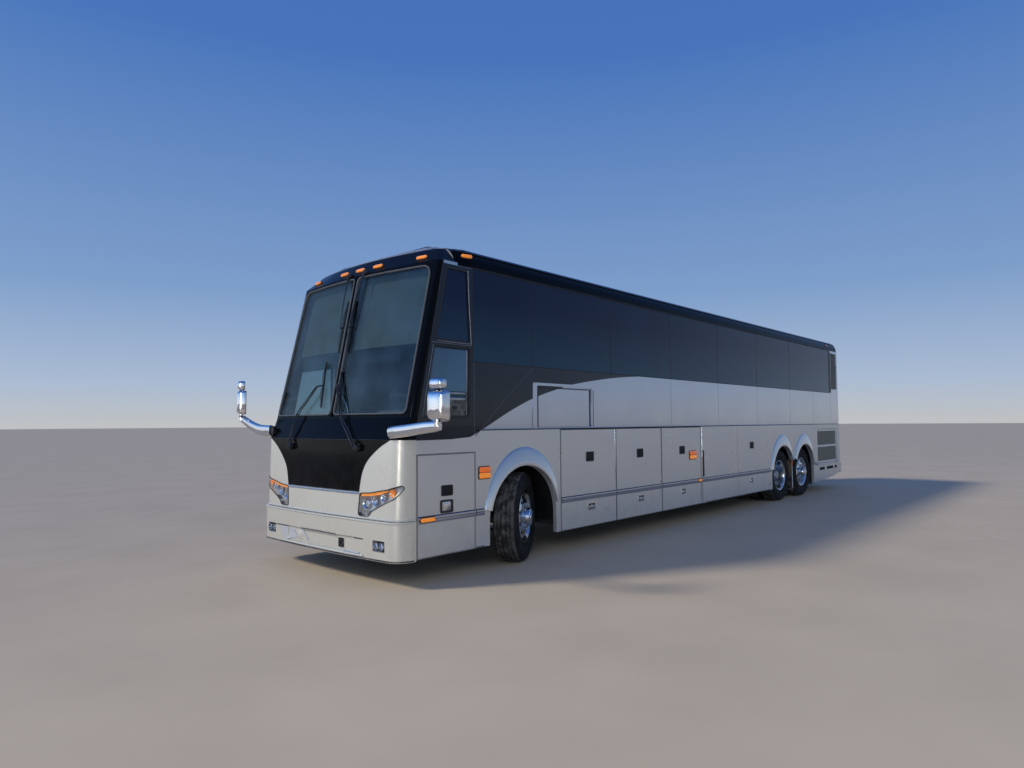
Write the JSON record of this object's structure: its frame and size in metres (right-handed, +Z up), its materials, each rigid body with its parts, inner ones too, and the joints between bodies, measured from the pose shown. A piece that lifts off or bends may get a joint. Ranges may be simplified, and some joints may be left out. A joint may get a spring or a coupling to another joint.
{
  "type": "three-axle coach bus",
  "caption": "Long-distance coach with a luggage hold under a high passenger floor, steered front wheels, twin drive wheels, a trailing axle and hinged doors.",
  "frame": {"origin": "on the ground below the middle of the overall box", "axes": "+X towards the nose, +Y to the left side, +Z up"},
  "size_m": [14.0648, 3.9699, 3.668],
  "materials": {
    "silver_paint": "metallic gloss",
    "silver_lower": "satin metallic",
    "black_panel": "gloss",
    "glass_dark": "tinted",
    "glass_clear": "clear",
    "lamp_lens": "clear lens",
    "lamp_red": "red lens",
    "chrome": "polished",
    "frame_steel": "satin black",
    "axle_steel": "painted black",
    "tyre_rubber": "worn tread",
    "wheel_alloy": "polished",
    "floor_cover": "matte",
    "cabin_plastic": "matte",
    "seat_fabric": "woven",
    "engine_block": "rough",
    "wiper_black": "matte",
    "grille_dark": "satin"
  },
  "bodies": {
    "body": {"bulkheads": "frame_steel", "cab_floor": "floor_cover", "dashboard": "cabin_plastic", "drive_axle": "axle_steel", "driver_seat": "seat_fabric", "engine": "engine_block", "front_axle": "axle_steel", "front_bumper": "silver_lower", "front_frame": "frame_steel", "front_lamps": "lamp_lens", "front_mask": "silver_paint", "hold_floor": "frame_steel", "left_lower_panels": "silver_lower", "left_side_wall": "silver_paint", "left_windows": "glass_dark", "mirrors": "chrome", "parcel_racks": "cabin_plastic", "passenger_floor": "floor_cover", "passenger_seats": "seat_fabric", "rear_bumper": "silver_lower", "rear_cap": "silver_paint", "rear_frame": "frame_steel", "rear_window": "glass_dark", "right_lower_panels": "silver_lower", "right_side_wall": "silver_paint", "right_windows": "glass_dark", "roof": "silver_paint", "tag_axle": "axle_steel", "tail_lamps": "lamp_red", "wheel_housings": "frame_steel", "windshield": "glass_clear", "windshield_frame": "black_panel", "wipers": "wiper_black"},
    "entrance_door": {"entrance_door": "black_panel", "entrance_door_glass": "glass_clear"},
    "front_service_door": {"front_service_door": "silver_lower"},
    "radiator_door": {"radiator_door": "grille_dark"},
    "engine_door": {"engine_door": "silver_paint"},
    "left_knuckle": {"left_knuckle": "axle_steel"},
    "right_knuckle": {"right_knuckle": "axle_steel"},
    "tie_rod": {"tie_rod": "axle_steel"},
    "steering_wheel": {"steering_wheel": "cabin_plastic"},
    "left_front_luggage_door": {"left_front_luggage_door": "silver_lower"},
    "left_middle_luggage_door": {"left_middle_luggage_door": "silver_lower"},
    "left_rear_luggage_door": {"left_rear_luggage_door": "silver_lower"},
    "front_left_wheel": {"front_left_tyre": "tyre_rubber", "front_left_rim": "wheel_alloy"},
    "drive_left_wheels": {"drive_left_tyres": "tyre_rubber", "drive_left_rims": "wheel_alloy"},
    "tag_left_wheel": {"tag_left_tyre": "tyre_rubber", "tag_left_rim": "wheel_alloy"},
    "right_front_luggage_door": {"right_front_luggage_door": "silver_lower"},
    "right_middle_luggage_door": {"right_middle_luggage_door": "silver_lower"},
    "right_rear_luggage_door": {"right_rear_luggage_door": "silver_lower"},
    "front_right_wheel": {"front_right_tyre": "tyre_rubber", "front_right_rim": "wheel_alloy"},
    "drive_right_wheels": {"drive_right_tyres": "tyre_rubber", "drive_right_rims": "wheel_alloy"},
    "tag_right_wheel": {"tag_right_tyre": "tyre_rubber", "tag_right_rim": "wheel_alloy"}
  },
  "joints": [
    {"name": "steer_left", "type": "hinge", "parent": "body", "child": "left_knuckle", "pos_m": [5.1275, 0.97, 0.5], "axis": [0, 0, 1], "range_deg": [-72, 18]},
    {"name": "steer_right", "type": "hinge", "parent": "body", "child": "right_knuckle", "pos_m": [5.1275, -0.97, 0.5], "axis": [0, 0, 1], "range_deg": [-72, 18]},
    {"name": "tie_rod_pivot", "type": "hinge", "parent": "left_knuckle", "child": "tie_rod", "pos_m": [4.99385, 0.9019, 0.345], "axis": [0, 0, 1], "range_deg": [-18, 72]},
    {"name": "steering_wheel_turn", "type": "hinge", "parent": "body", "child": "steering_wheel", "pos_m": [6.2775, 0.64, 1.79], "axis": [-0.5057, 0, 0.8627], "range_deg": [-1296, 324]},
    {"name": "front_left_wheel_spin", "type": "hinge", "parent": "left_knuckle", "child": "front_left_wheel", "pos_m": [5.05259, 1.11702, 0.52], "axis": [-0.454, 0.891, 0], "continuous": true},
    {"name": "drive_left_wheels_spin", "type": "hinge", "parent": "body", "child": "drive_left_wheels", "pos_m": [-2.9825, 0.925, 0.52], "axis": [0, 1, 0], "continuous": true},
    {"name": "tag_left_wheel_spin", "type": "hinge", "parent": "body", "child": "tag_left_wheel", "pos_m": [-4.2325, 1.095, 0.52], "axis": [0, 1, 0], "continuous": true},
    {"name": "left_front_luggage_door_hinge", "type": "hinge", "parent": "body", "child": "left_front_luggage_door", "pos_m": [3.776, 1.297, 1.538], "axis": [1, 0, 0], "range_deg": [0, 88]},
    {"name": "left_middle_luggage_door_hinge", "type": "hinge", "parent": "body", "child": "left_middle_luggage_door", "pos_m": [2.535, 1.297, 1.538], "axis": [1, 0, 0], "range_deg": [0, 88]},
    {"name": "left_rear_luggage_door_hinge", "type": "hinge", "parent": "body", "child": "left_rear_luggage_door", "pos_m": [1.271, 1.297, 1.538], "axis": [1, 0, 0], "range_deg": [0, 88]},
    {"name": "front_right_wheel_spin", "type": "hinge", "parent": "right_knuckle", "child": "front_right_wheel", "pos_m": [5.20241, -1.11702, 0.52], "axis": [-0.454, 0.891, 0], "continuous": true},
    {"name": "drive_right_wheels_spin", "type": "hinge", "parent": "body", "child": "drive_right_wheels", "pos_m": [-2.9825, -0.925, 0.52], "axis": [0, 1, 0], "continuous": true},
    {"name": "tag_right_wheel_spin", "type": "hinge", "parent": "body", "child": "tag_right_wheel", "pos_m": [-4.2325, -1.095, 0.52], "axis": [0, 1, 0], "continuous": true},
    {"name": "right_front_luggage_door_hinge", "type": "hinge", "parent": "body", "child": "right_front_luggage_door", "pos_m": [3.776, -1.297, 1.538], "axis": [-1, 0, 0], "range_deg": [0, 88]},
    {"name": "right_middle_luggage_door_hinge", "type": "hinge", "parent": "body", "child": "right_middle_luggage_door", "pos_m": [2.535, -1.297, 1.538], "axis": [-1, 0, 0], "range_deg": [0, 88]},
    {"name": "right_rear_luggage_door_hinge", "type": "hinge", "parent": "body", "child": "right_rear_luggage_door", "pos_m": [1.271, -1.297, 1.538], "axis": [-1, 0, 0], "range_deg": [0, 88]},
    {"name": "entrance_door_hinge", "type": "hinge", "parent": "body", "child": "entrance_door", "pos_m": [6.6775, -1.299, 1.5], "axis": [0, 0, 1], "range_deg": [0, 85]},
    {"name": "front_service_door_hinge", "type": "hinge", "parent": "body", "child": "front_service_door", "pos_m": [6.7155, 1.299, 0.8], "axis": [0, 0, -1], "range_deg": [0, 100]},
    {"name": "radiator_door_hinge", "type": "hinge", "parent": "body", "child": "radiator_door", "pos_m": [-5.0965, 1.299, 1.04], "axis": [0, 0, -1], "range_deg": [0, 110]},
    {"name": "engine_door_hinge", "type": "hinge", "parent": "body", "child": "engine_door", "pos_m": [-6.9585, 0, 1.501], "axis": [0, 1, 0], "range_deg": [0, 75]}
  ],
  "couplings": [
    {"joint": "steer_right", "follows": "steer_left", "ratio": 1},
    {"joint": "tie_rod_pivot", "follows": "steer_left", "ratio": -1},
    {"joint": "steering_wheel_turn", "follows": "steer_left", "ratio": 18}
  ]
}
